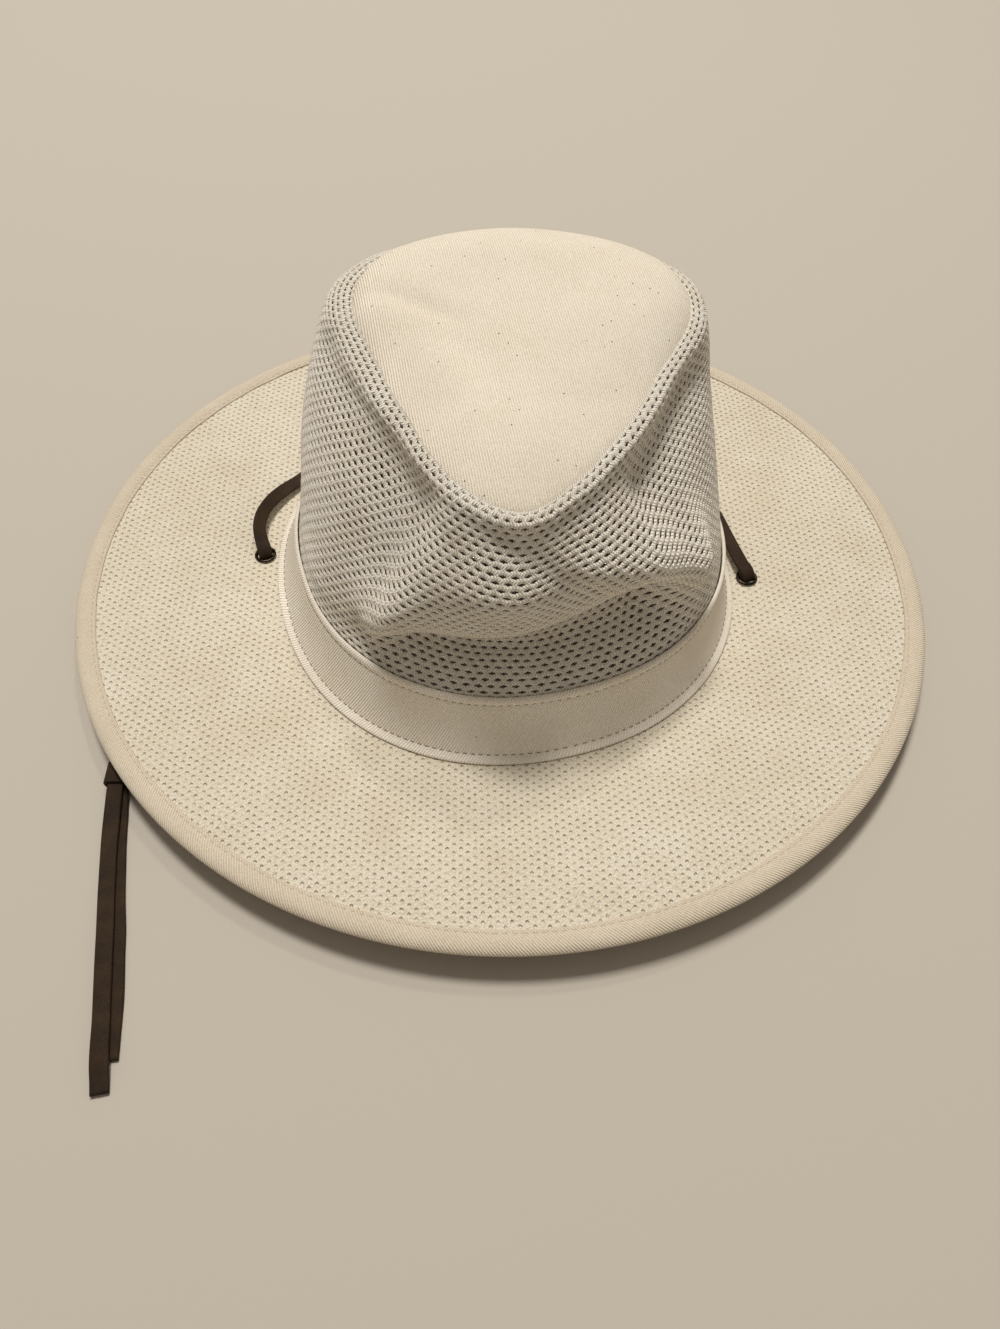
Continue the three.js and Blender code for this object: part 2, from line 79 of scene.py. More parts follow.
def offMiddle(tree, count):
    # how far a place is from the middle of its repeat, 0 to 0.5, where count counts the repeats up to it
    for operation, second in (("FRACT", 0), ("SUBTRACT", 0.5), ("ABSOLUTE", 0)):
        count = addNode(tree, "ShaderNodeMath", {0: count, 1: second}, operation=operation)
    return count


def colourAndRelief(tree, shader, tone, height, strength, depth):
    # depth in millimetres is how far the relief stands out where height is 1
    relief = addNode(tree, "ShaderNodeBump", {
        "Height": height, "Strength": strength, "Distance": depth * mm})
    tree.links.new(tone, shader.inputs["Base Color"])
    tree.links.new(relief.outputs[0], shader.inputs["Normal"])


def newMaterial(name, sockets):
    material = bpy.data.materials.new(name)
    material.use_nodes = True
    tree = material.node_tree
    tree.nodes.clear()
    shader = addNode(tree, "ShaderNodeBsdfPrincipled", sockets)
    addNode(tree, "ShaderNodeOutputMaterial", {"Surface": shader.outputs[0]})
    return material, tree, shader


def makePiece(name, bm, material, replaced=()):
    # the operators don't number their results alike in each run, so they are sorted along a slanted line
    aslant = Vector((1, 0.7137, 0.3191))
    bm.verts.sort(key=lambda vert: vert.co.dot(aslant))
    bm.edges.sort(key=lambda edge: (edge.verts[0].co + edge.verts[1].co).dot(aslant))
    bm.faces.sort(key=lambda face: face.calc_center_median().dot(aslant))
    mesh = bpy.data.meshes.new(name)
    bm.to_mesh(mesh)
    bm.free()
    mesh.shade_smooth()
    mesh.materials.append(material)
    piece = bpy.data.objects.new(name, mesh)
    bpy.context.scene.collection.objects.link(piece)
    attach(piece, "root")
    if replaced:
        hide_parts(*replaced)
    return piece


def place(bm, points):
    # points are in millimetres, one for each vertex
    for vert, point in zip(bm.verts, points):
        vert.co = Vector(point) * mm


# camera

view = {"lens": 25.2, "sensor": 36, "at": (-0.01299, -0.27307, 0.31525),
        "right": (0.99959, -0.02143, 0.01917), "forward": (0.02803, 0.57881, -0.81498)}
cameraData = bpy.data.cameras.new("camera")
cameraData.lens = view["lens"]
cameraData.sensor_width = view["sensor"]
camera = bpy.data.objects.new("camera", cameraData)
right, forward = Vector(view["right"]).normalized(), Vector(view["forward"]).normalized()
up = right.cross(forward).normalized()
turn = Matrix((right, up, -forward)).transposed().to_4x4()
camera.matrix_world = Matrix.Translation(view["at"]) @ turn
bpy.context.scene.collection.objects.link(camera)
bpy.context.scene.camera = camera
bpy.context.scene.view_settings.view_transform = "Standard"


# chin lace: flat dark split leather, 5.8 mm wide

laceSizes = {"width": 5.8, "thickness": 1.4, "step": 1.2, "crumpled": 2.2, "crumpledWithin": 3.6}
laceNames = {"chin_lace_back": "lace_round_the_crown", "chin_lace_left": "lace_end_left",
             "chin_lace_right": "lace_end_right"}

# each row is x, y, z in metres and how far the upper face leans to the right of the run, in degrees
laceRoutes = {
    "chin_lace_back": [
        (-0.1045, 0.0061, 0.0049, 0), (-0.1045, 0.0061, 0.0074, 0), (-0.1049, 0.0076, 0.0096, 5),
        (-0.1060, 0.0106, 0.0113, 20), (-0.1076, 0.0175, 0.0126, 38), (-0.1073, 0.0260, 0.0124, 42),
        (-0.1047, 0.0345, 0.0116, 36), (-0.1003, 0.0425, 0.0104, 24), (-0.0940, 0.0510, 0.0089, 10),
        (-0.0801, 0.0702, 0.0080, 0), (-0.0648, 0.0842, 0.0075, 0), (-0.0443, 0.0957, 0.0075, 0),
        (-0.0184, 0.1036, 0.0075, 0), (0.0062, 0.1060, 0.0075, 0), (0.0289, 0.1030, 0.0075, 0),
        (0.0496, 0.0948, 0.0075, 0), (0.0677, 0.0819, 0.0075, 0), (0.0816, 0.0661, 0.0075, 0),
        (0.0916, 0.0486, 0.0075, 0), (0.0978, 0.0319, 0.0080, 0), (0.1012, 0.0145, 0.0093, 0),
        (0.1027, 0.0055, 0.0104, 0), (0.1043, -0.0020, 0.0107, 0), (0.1059, -0.0064, 0.0099, 0),
        (0.1067, -0.0082, 0.0076, 0), (0.1067, -0.0082, 0.0049, 0),
    ],
    "chin_lace_left": [
        (-0.1045, 0.0061, 0.0046, 0), (-0.1045, 0.0061, 0.0034, 0), (-0.1046, 0.0053, 0.0017, 0),
        (-0.1049, 0.0033, 0.0008, 0), (-0.1070, -0.0060, 0.0008, 0), (-0.1120, -0.0220, 0.0008, 0),
        (-0.1200, -0.0420, 0.0008, 0), (-0.1300, -0.0610, 0.0009, 0), (-0.1380, -0.0760, 0.0024, 0),
        (-0.1435, -0.0870, 0.0037, 0), (-0.1461, -0.0960, 0.0039, 0), (-0.1467, -0.1060, 0.0039, 0),
        (-0.1456, -0.1198, 0.0028, 0), (-0.1437, -0.1340, 0.0025, 0), (-0.1410, -0.1500, 0.0025, 0),
        (-0.1384, -0.1640, 0.0025, 0), (-0.1359, -0.1780, 0.0025, 0), (-0.1340, -0.1885, 0.0025, 0),
        (-0.1314, -0.2035, 0.0025, 0), (-0.1305, -0.2083, 0.0015, 0), (-0.1298, -0.2123, 0.0008, 0),
    ],
    "chin_lace_right": [
        (0.1067, -0.0082, 0.0046, 0), (0.1067, -0.0082, 0.0034, 0), (0.1066, -0.0090, 0.0017, 0),
        (0.1063, -0.0110, 0.0008, 0), (0.1060, -0.0240, 0.0008, 0), (0.1010, -0.0480, 0.0008, 0),
        (0.0890, -0.0740, 0.0008, 0), (0.0690, -0.0970, 0.0008, 0), (0.0400, -0.1140, 0.0008, 0),
        (0.0060, -0.1220, 0.0008, 0), (-0.0300, -0.1200, 0.0008, 0), (-0.0640, -0.1100, 0.0008, 0),
        (-0.0940, -0.0960, 0.0008, 0), (-0.1160, -0.0855, 0.0008, 0), (-0.1290, -0.0818, 0.0008, 0),
        (-0.1380, -0.0840, 0.0008, 0), (-0.1430, -0.0900, 0.0015, 0), (-0.1449, -0.0960, 0.0022, 0),
        (-0.1451, -0.1065, 0.0022, 0), (-0.1434, -0.1187, 0.0008, 0), (-0.1416, -0.1306, 0.0008, 0),
        (-0.1382, -0.1483, 0.0008, 0), (-0.1355, -0.1601, 0.0008, 0), (-0.1337, -0.1704, 0.0008, 0),
        (-0.1316, -0.1816, 0.0008, 0), (-0.1305, -0.1899, 0.0008, 0), (-0.1290, -0.2025, 0.0008, 0),
    ],
}
eyeletHoles = [Vector(rows[0][:2]) for rows in laceRoutes.values()]  # each stretch starts in one


def throughPoints(points, at):
    # centripetal Catmull-Rom curve through K rows; points is K x N x D, at is 0 to 1 for each N
    points = np.asarray(points, float)
    last = len(points) - 1
    spot = np.clip(np.asarray(at, float) * last, 0, last)
    i = np.minimum(np.floor(spot).astype(int), last - 1)
    w = (spot - i)[:, None]
    n = np.arange(points.shape[1])
    p1, p2 = points[i, n], points[i + 1, n]
    p0 = np.where((i > 0)[:, None], points[np.maximum(i - 1, 0), n], 2 * p1 - p2)
    p3 = np.where((i + 2 <= last)[:, None], points[np.minimum(i + 2, last), n], 2 * p2 - p1)
    d0, d1, d2 = (np.maximum(np.linalg.norm(b[:, :3] - a[:, :3], axis=1)[:, None] ** 0.5, 1e-4)
                  for a, b in ((p0, p1), (p1, p2), (p2, p3)))
    t1 = ((p1 - p0) / d0 - (p2 - p0) / (d0 + d1) + (p2 - p1) / d1) * d1
    t2 = ((p2 - p1) / d1 - (p3 - p1) / (d1 + d2) + (p3 - p2) / d2) * d1
    return p1 + t1 * w + (3 * (p2 - p1) - 2 * t1 - t2) * w**2 + (2 * (p1 - p2) + t1 + t2) * w**3


def evenRoute(rows, step):
    # the rows as points a step apart, and their leans
    rows = np.array(rows, float)
    fine = throughPoints(np.repeat(rows[:, None], 4000, axis=1), np.linspace(0, 1, 4000))
    run = np.concatenate(([0], np.cumsum(np.linalg.norm(np.diff(fine[:, :3], axis=0), axis=1))))
    count = int(run[-1] / step) + 1
    even = np.linspace(0, run[-1], count)
    spots = [Vector([np.interp(e, run, fine[:, k]) for k in range(3)]) for e in even]
    return spots, np.interp(even, run, fine[:, 3]), run[-1]


def laceFrames(points, leans):
    # tangent and upper face at each point; where the lace stands upright its face is carried along
    count = len(points)
    tangents = [(points[min(i + 1, count - 1)] - points[max(i - 1, 0)]).normalized() for i in range(count)]
    faces = [None] * count

    def settle(i, before):
        known = before is not None and faces[before] is not None
        if known and abs(tangents[i].z) > 0.75:
            face = tangents[before].rotation_difference(tangents[i]) @ faces[before]
        else:
            face = Quaternion(tangents[i], math.radians(leans[i])) @ Vector((0, 0, 1))
        faces[i] = (face - tangents[i] * face.dot(tangents[i])).normalized()

    middle = count // 2
    for i in range(middle, count):
        settle(i, i - 1 if i > middle else None)
    for i in range(middle - 1, -1, -1):
        settle(i, i + 1)
    return tangents, faces


def sweepLace(name, rows, material):
    points, leans, length = evenRoute(rows, laceSizes["step"] * mm)
    tangents, faces = laceFrames(points, leans)
    w, t = laceSizes["width"] / 2 * mm, laceSizes["thickness"] / 2 * mm
    quarter = [(w, 0), (w, 0.55 * t), (w - 0.12 * mm, 0.88 * t), (w - 0.5 * mm, t), (0.5 * w, 0.97 * t)]
    quarter.append((0, t))
    section = quarter + [(-a, b) for a, b in quarter[-2::-1]]
    section += [(a, -b) for a, b in section[-2:0:-1]]
    bm = bmesh.new()
    uvLayer = bm.loops.layers.uv.new("cloth")
    ring = [bm.verts.new() for _ in section]
    edges = [bm.edges.new((ring[i], ring[(i + 1) % len(ring)])) for i in range(len(ring))]
    rings = [ring]
    for _ in points[1:]:
        grown = bmesh.ops.extrude_edge_only(bm, edges=edges)["geom"]
        edges = [g for g in grown if isinstance(g, bmesh.types.BMEdge) and all(v in grown for v in g.verts)
                 and not any(v in rings[-1] for v in g.verts)]
        fresh = {v for e in edges for v in e.verts}
        ring = []
        for vert in rings[-1]:  # keeps each new ring in the order of the one before
            ring.append(next(e.other_vert(vert) for e in vert.link_edges if e.other_vert(vert) in fresh))
        rings.append(ring)
    for k, ring in enumerate(rings):
        across = tangents[k].cross(faces[k])
        near = min((points[k].xy - hole).length for hole in eyeletHoles) / (laceSizes["crumpledWithin"] * mm)
        bulk = 1 + laceSizes["crumpled"] * max(0, 1 - near) ** 0.5  # crumpled inside its eyelet
        bulk = min(bulk, points[k].z / (t * 1.06))  # and clear of the table under it
        for (a, b), vert in zip(section, ring):
            rough = 1 + 0.05 * noise.noise(Vector((k * 0.11, a * 900, b * 900)))  # hand-cut edges
            vert.co = points[k] + across * (a * rough) + faces[k] * (b * bulk)
    number = {vert: (k, j) for k, ring in enumerate(rings) for j, vert in enumerate(ring)}
    around = len(section)
    girth = 2 * (laceSizes["width"] + laceSizes["thickness"]) * mm
    for face in bm.faces:
        spots = [number[loop.vert] for loop in face.loops]
        wrap = max(j for _, j in spots) == around - 1 and min(j for _, j in spots) == 0
        for loop, (k, j) in zip(face.loops, spots):
            side = j + (around if wrap and j == 0 else 0)
            loop[uvLayer].uv = (k * laceSizes["step"] * mm, side / around * girth)
    bm.faces.new(rings[0])
    bm.faces.new(rings[-1])
    bmesh.ops.recalc_face_normals(bm, faces=bm.faces)
    piece = makePiece(laceNames[name], bm, material, (name,))
    return piece, points, length


leatherGrain = {"nap": 0.714, "patches": 7.69}


def laceLeather():
    # flat dark split leather: dull, a little paler and fuzzy where it is worn; its nap is drawn as coarse as
    # it needs to show
    material, tree, shader = newMaterial("dark brown split leather", {
        "Roughness": 0.82, "Specular IOR Level": 0.3, "Sheen Weight": 0.12, "Sheen Roughness": 0.5,
        "Sheen Tint": linearColour("#6b4e3a")})
    coords = addNode(tree, "ShaderNodeTexCoord").outputs["Object"]
    nap = addNode(tree, "ShaderNodeTexNoise", {
        "Vector": coords, "Scale": 1 / (leatherGrain["nap"] * mm), "Detail": 5, "Roughness": 0.65})
    patches = addNode(tree, "ShaderNodeTexNoise", {
        "Vector": coords, "Scale": 1 / (leatherGrain["patches"] * mm), "Detail": 4})
    worn = weigh(tree, -1.0, (nap, 1.5), (patches, 1.5))
    tone = addNode(tree, "ShaderNodeMix", {
        0: worn, 6: linearColour("#1f140a"), 7: linearColour("#3b2915")}, data_type="RGBA").outputs[2]
    colourAndRelief(tree, shader, tone, nap, 0.5, 0.15)
    return material


leather = laceLeather()
for laceName, rows in laceRoutes.items():
    sweepLace(laceName, rows, leather)

# crown shape, in millimetres: the same ovals, seam and folds as the CAD

crownSizes = {
    "foot": {"halfWidth": 92.2, "halfLength": 94.7, "exponent": 2.17, "turn": 14,
             "x": 0.4, "y": 0.5, "z": 6.3},
    "waist": {"halfWidth": 87.0, "halfLength": 87.2, "exponent": 2.17, "turn": 16,
              "x": 2.3, "y": 2.9, "z": 31},
    "axis": (3.4, 10.5), "turnedIn": 40, "turnedDown": 14,
}

# tip seam every 15 degrees from +X: how far it is from the axis, its height, how far the mesh rolls past it
tipSeam = {
    "reach": [58.3, 67.5, 74.5, 76.5, 75.8, 74.8, 74.5, 74.5, 75.0, 74.5, 70.0, 62.2,
              54.5, 51.1, 51.4, 53.8, 60.7, 69.2, 74.6, 65.6, 57.2, 53.2, 51.3, 52.3],
    "height": [111.2, 112.3, 112.4, 110.6, 109.4, 108.8, 108.7, 108.8, 109.4, 110.8, 112.3, 112.2,
               111.2, 110.3, 109.1, 107.6, 105.6, 103.3, 102.1, 103.9, 106.0, 107.7, 109.0, 110.2],
    "roll": [9, 7, 5, 4.5, 4.5, 5, 5, 5, 6, 8, 11, 13, 13.5, 11, 8, 6, 5, 4.5, 4, 4.5, 5, 6, 7, 8.5],
}

# folds of the side, each along a line on the unrolled wall: compass angle and height where it starts and
# ends, how far the line bows up between them, push out, half-width, all but the angles in mm
degreeOfWall = 1.25
sideFolds = {
    "low front hollow": (238, 34, 306, 47, 1, -14, 12),
    "ridge over the hollow": (234, 52, 322, 58, 25, 6, 13),
    "nose": (254, 84, 266, 79, 0, 3.0, 11),
    "left cheek edge": (250, 95, 232, 36, 0, 4.0, 7),
    "left pinch under the seam": (172, 104, 246, 91, 0, -3.6, 9),
    "right pinch under the seam": (356, 102, 312, 92, 0, -5.0, 9),
    "crease beside the nose": (266, 95, 286, 74, 0, -2.4, 5),
    "right cheek": (292, 81, 322, 62, 0, 5.2, 13),
    "left wall": (145, 76, 205, 70, 0, 4.8, 30),
    "right wall": (340, 68, 20, 68, 0, 1.8, 26),
}

# the tip's middle level, and how far it swells above its seam at the front and, more and more, at the back
tipSwell = {"level": 112, "front": 3.5, "back": 8.7, "backFrom": -20, "backTo": 55}

# folds of the tip: centre x and y, half-spread along and across, turn in degrees, lift
tipFolds = {
    "crease from the back left corner": (-41, 29, 22, 4.5, -22, -2.2),
    "crease turning forward": (-17, 6, 24, 7, -62, -2.2),
    "shallow bowl": (-4, 14, 38, 26, -60, -3.5),
}


def ovalPoint(ring, angle, grow=0.0):
    spin = np.radians(ring.get("turn", 0))
    c, s = np.cos(np.radians(angle) - spin), np.sin(np.radians(angle) - spin)
    power = 2 / ring["exponent"]
    x = (ring["halfWidth"] + grow) * np.sign(c) * np.abs(c) ** power
    y = (ring["halfLength"] + grow) * np.sign(s) * np.abs(s) ** power
    return (x * np.cos(spin) - y * np.sin(spin) + ring.get("x", 0),
            x * np.sin(spin) + y * np.cos(spin) + ring.get("y", 0))


def aroundSeam(column, angle):
    table = np.array(tipSeam[column], float)
    spot = np.mod(angle, 360) / (360 / len(table))
    k = np.floor(spot).astype(int)
    t = spot - k
    a, b, c, d = (table[(k + n) % len(table)] for n in (-1, 0, 1, 2))
    return (b * (1 + 2 * t) * (1 - t) ** 2 + (c - a) / 2 * t * (1 - t) ** 2
            + c * t * t * (3 - 2 * t) + (d - b) / 2 * t * t * (t - 1))


def bump(distance, spread):
    return np.exp(-((distance / spread) ** 2))


def folding(angle, height, fromAngle, fromHeight, toAngle, toHeight, bow, push, halfWidth):
    # push of one fold, from how far a place is from the fold's line on the unrolled wall
    along = (np.mod(toAngle - fromAngle + 540, 360) - 180) * degreeOfWall, toHeight - fromHeight
    dx = (np.mod(angle - fromAngle + 540, 360) - 180) * degreeOfWall
    dy = height - fromHeight
    t = np.clip((dx * along[0] + dy * along[1]) / (along[0] ** 2 + along[1] ** 2), 0, 1)
    return push * bump(np.hypot(dx - t * along[0], dy - t * along[1] - bow * 4 * t * (1 - t)), halfWidth)


def sidePoint(angle, v):
    # v is 0 at the foot, 1 where the mesh leaves the band, 2 at the tip seam and more where it is turned in
    angle, v = np.broadcast_arrays(np.asarray(angle, float), np.asarray(v, float))
    foot, waist = (np.stack([*ovalPoint(crownSizes[k], angle), np.full(angle.shape, crownSizes[k]["z"])], 1)
                   for k in ("foot", "waist"))
    out = np.stack([np.cos(np.radians(angle)), np.sin(np.radians(angle))], 1)
    reach, height, roll = (aroundSeam(column, angle) for column in ("reach", "height", "roll"))
    axis = np.array(crownSizes["axis"])

    def seamward(outset, drop):
        return np.column_stack([axis + out * (reach + outset)[:, None], height - drop])

    shoulder = seamward(roll, roll * 0.9)
    rows = np.stack([foot, waist, (waist + shoulder) / 2, shoulder, seamward(roll * 0.62, roll * 0.12),
                     seamward(0 * roll, 0 * roll)])
    waistAt = 1 / (len(rows) - 1)
    point = throughPoints(rows, np.clip(waistAt + (1 - waistAt) * (v - 1), waistAt, 1))
    fade = np.clip((2 - v) * 6, 0, 1) * np.clip((v - 1) * 14, 0, 1)  # the folds die out at both seams
    for folds in sideFolds.values():
        shift = folding(angle, point[:, 2], *folds) * fade
        point[:, :2] += out * shift[:, None]
    low = v < 1
    point[low] = foot[low] + (waist[low] - foot[low]) * v[low, None]
    past = np.clip(v - 2, 0, 1)
    point[:, :2] -= out * (past * crownSizes["turnedIn"])[:, None]
    point[:, 2] -= past * crownSizes["turnedDown"]
    return point


def tipPoint(angle, s):
    out = np.stack([np.cos(np.radians(angle)), np.sin(np.radians(angle))], 1)
    flat = np.array(crownSizes["axis"]) + out * ((aroundSeam("reach", angle) - 0.3) * s)[:, None]
    level, backFrom, backTo = (tipSwell[k] for k in ("level", "backFrom", "backTo"))
    back = np.clip((flat[:, 1] - backFrom) / (backTo - backFrom), 0, 1)
    swell = (tipSwell["front"] + tipSwell["back"] * back) * (1 - s ** (3 + 7 * back))
    z = level + (aroundSeam("height", angle) - level) * s * s + swell
    for x, y, along, across, spin, lift in tipFolds.values():
        dx, dy = flat[:, 0] - x, flat[:, 1] - y
        c, k = math.cos(math.radians(spin)), math.sin(math.radians(spin))
        z = z + lift * bump(dx * c + dy * k, along) * bump(dy * c - dx * k, across) * (1 - s**4)
    return np.column_stack([flat, z])


def ripple(points, size, height, seed=0):
    # small slow unevenness of soft cloth, in millimetres
    return np.array([noise.noise(Vector(p) / size + Vector((seed, 0, 0))) for p in points]) * height


# crown mesh in millimetres, and the places of the wall where it starts and ends
netSizes = {
    "columns": 116, "rows": 40, "pitch": 4.8, "rowHeight": 2.07, "wave": 0.36, "strand": 0.83, "dip": 0.35,
    "thickness": 0.5, "borderRows": 3, "borderStrand": 0.86, "borderLift": 0.9, "lift": 0.1,
    "uneven": (0.32, 0.28, 0.15), "startsAt": 0.9, "endsAt": 2.03,
}
wallSteps = 150


def wallGrid():
    # the wall of the crown: angle each degree, height in equal steps of cloth from the band to the seam
    angles = np.arange(361.0)
    around = np.radians(angles)
    fineV = np.linspace(netSizes["startsAt"], netSizes["endsAt"], 260)
    fine = sidePoint(np.repeat(angles, len(fineV)), np.tile(fineV, len(angles))).reshape(361, -1, 3)
    fine += (ripple(fine.reshape(-1, 3), 26, 0.5).reshape(361, -1)[..., None]
             * np.stack([np.cos(around), np.sin(around), 0 * around], 1)[:, None])
    grid = np.empty((361, wallSteps + 1, 3))
    for k in range(361):
        run = np.concatenate(([0], np.cumsum(np.linalg.norm(np.diff(fine[k], axis=0), axis=1))))
        for axis in range(3):
            grid[k, :, axis] = np.interp(np.linspace(0, run[-1], wallSteps + 1), run, fine[k, :, axis])
    grid[360] = grid[0]
    ringed = np.concatenate([grid[-3:-1], grid, grid[1:3]])
    normals = np.cross(np.gradient(ringed, axis=0), np.gradient(ringed, axis=1))[2:-2]
    return grid, normals / np.linalg.norm(normals, axis=2)[..., None]


wall, wallNormal = wallGrid()


def onWall(angle, height, lift):
    # a place on the wall: angle in degrees, height 0 to 1, lift off the cloth in millimetres
    a = np.mod(angle, 360)
    h = np.clip(height, 0, 1) * wallSteps
    i, j = np.minimum(a.astype(int), 359), np.minimum(h.astype(int), wallSteps - 1)
    u, v = (a - i)[:, None], (h - j)[:, None]

    def between(grid):
        low = grid[i, j] * (1 - u) + grid[i + 1, j] * u
        high = grid[i, j + 1] * (1 - u) + grid[i + 1, j + 1] * u
        return low * (1 - v) + high * v

    return between(wall) + between(wallNormal) * np.asarray(lift)[:, None]


def evenAngles(ring):
    # angles that share a ring of the wall out evenly on each side, from the back round to the back
    back, front = 90, 270
    fromBack = np.concatenate([ring[back:360], ring[:back + 1]])
    total = np.concatenate(([0], np.cumsum(np.linalg.norm(np.diff(fromBack, axis=0), axis=1))))
    left = total[front - back]
    share = np.where(total <= left, total / left / 2, 0.5 + (total - left) / (total[-1] - left) / 2)
    return share, np.arange(361) + back


lowShare, lowAngle = evenAngles(wall[:, 0])
highShare, highAngle = evenAngles(wall[:, -1])


def columnAngle(share, height):
    low, high = np.interp(share, lowShare, lowAngle), np.interp(share, highShare, highAngle)
    return low + (high - low) * height


# cloths, with the sizes of their patterns in millimetres

# a fleck's size is a share of the distance between flecks
twillSizes = {"yarn": 0.6667, "clouds": 22.2, "flecksApart": 3.03, "fleckSize": 0.1}


def creamCotton(name, pale, deep, uvMap=None, pitch=0.9, slant=62, flecks=0.965):
    # woven cotton twill: slanted fine ribs, matte, with a few dark seed flecks; the ribs and the yarn are
    # drawn as coarse as they need to show
    material, tree, shader = newMaterial(name, {
        "Roughness": 0.88, "Specular IOR Level": 0.25, "Sheen Weight": 0.15, "Sheen Roughness": 0.6})
    coords = addNode(tree, "ShaderNodeTexCoord").outputs["Object"]
    cloth = addNode(tree, "ShaderNodeUVMap", uv_map=uvMap) if uvMap else coords
    slanted = addNode(tree, "ShaderNodeMapping", {"Vector": cloth, "Rotation": (0, 0, math.radians(slant))})
    ribs = addNode(tree, "ShaderNodeTexWave", {  # its bands lie tau / 20 / Scale apart
        "Vector": slanted, "Scale": math.tau / 20 / (pitch * mm), "Distortion": 1.1, "Detail": 3,
        "Detail Scale": 1.5}, wave_type="BANDS", bands_direction="X").outputs["Fac"]
    yarn = addNode(tree, "ShaderNodeTexNoise", {
        "Vector": coords, "Scale": 1 / (twillSizes["yarn"] * mm), "Detail": 3, "Roughness": 0.7})
    clouds = addNode(tree, "ShaderNodeTexNoise", {
        "Vector": coords, "Scale": 1 / (twillSizes["clouds"] * mm), "Detail": 4, "Roughness": 0.6})
    shade = weigh(tree, -1.34, (ribs, 0.84), (yarn, 2.24), (clouds, 0.7))
    tone = addNode(tree, "ShaderNodeMix", {
        0: shade, 6: linearColour(deep), 7: linearColour(pale)}, data_type="RGBA").outputs[2]
    cells = addNode(tree, "ShaderNodeTexVoronoi", {
        "Vector": coords, "Scale": 1 / (twillSizes["flecksApart"] * mm)})
    chance = addNode(tree, "ShaderNodeSeparateColor", {"Color": cells.outputs["Color"]})
    picked = addNode(tree, "ShaderNodeMath", {0: chance, 1: flecks}, operation="GREATER_THAN")
    near = addNode(tree, "ShaderNodeMath", {0: cells, 1: twillSizes["fleckSize"]}, operation="LESS_THAN")
    speck = addNode(tree, "ShaderNodeMath", {0: picked, 1: near}, operation="MULTIPLY")
    tone = addNode(tree, "ShaderNodeMix", {
        0: weigh(tree, 0, (speck, 0.85)), 6: tone, 7: linearColour("#443220")}, data_type="RGBA").outputs[2]
    colourAndRelief(tree, shader, tone, weigh(tree, 0, (ribs, 0.8), (yarn, 0.5)), 0.9, 0.33)
    return material


knitSizes = {"fibre": 0.588, "clouds": 16.7, "stitchesInPitch": 4}


def knitCotton():
    # soft matte cotton yarn of the crown mesh: each row reads as a rope of small slanted stitches; its fibre
    # is drawn as coarse as it needs to show
    material, tree, shader = newMaterial("cream knitted yarn", {
        "Roughness": 0.92, "Specular IOR Level": 0.2, "Sheen Weight": 0.2, "Sheen Roughness": 0.6})
    coords = addNode(tree, "ShaderNodeTexCoord").outputs["Object"]
    unrolled = addNode(tree, "ShaderNodeSeparateXYZ", {0: addNode(tree, "ShaderNodeUVMap", uv_map="cloth")})
    fibre = addNode(tree, "ShaderNodeTexNoise", {
        "Vector": coords, "Scale": 1 / (knitSizes["fibre"] * mm), "Detail": 4, "Roughness": 0.65})
    clouds = addNode(tree, "ShaderNodeTexNoise", {
        "Vector": coords, "Scale": 1 / (knitSizes["clouds"] * mm), "Detail": 3})
    row = weigh(tree, 0.5, (unrolled.outputs[1], 1 / (netSizes["rowHeight"] * mm)))
    aside = offMiddle(tree, row)
    along = weigh(tree, 0, (aside, 1.6), (fibre, 0.5),
                  (unrolled.outputs[0], knitSizes["stitchesInPitch"] / (netSizes["pitch"] * mm)))
    wave = addNode(tree, "ShaderNodeMath", {0: weigh(tree, 0, (along, math.tau))}, operation="SINE")
    twist = weigh(tree, 0.5, (wave, 0.5))
    shade = weigh(tree, -0.6, (fibre, 1.38), (clouds, 0.575), (twist, 0.69))
    tone = addNode(tree, "ShaderNodeMix", {
        0: shade, 6: linearColour("#d8c5a4"), 7: linearColour("#fffaf0")}, data_type="RGBA").outputs[2]
    colourAndRelief(tree, shader, tone, weigh(tree, 0, (twist, 0.8), (fibre, 0.7)), 1.0, 0.4)
    return material


brimPits = {"pitch": 4.9, "rowHeight": 1.625, "wobble": 1.4, "wobbleLength": 11.1, "patches": 2.38,
            "fibre": 0.6667, "loops": 0.909, "clouds": 25}


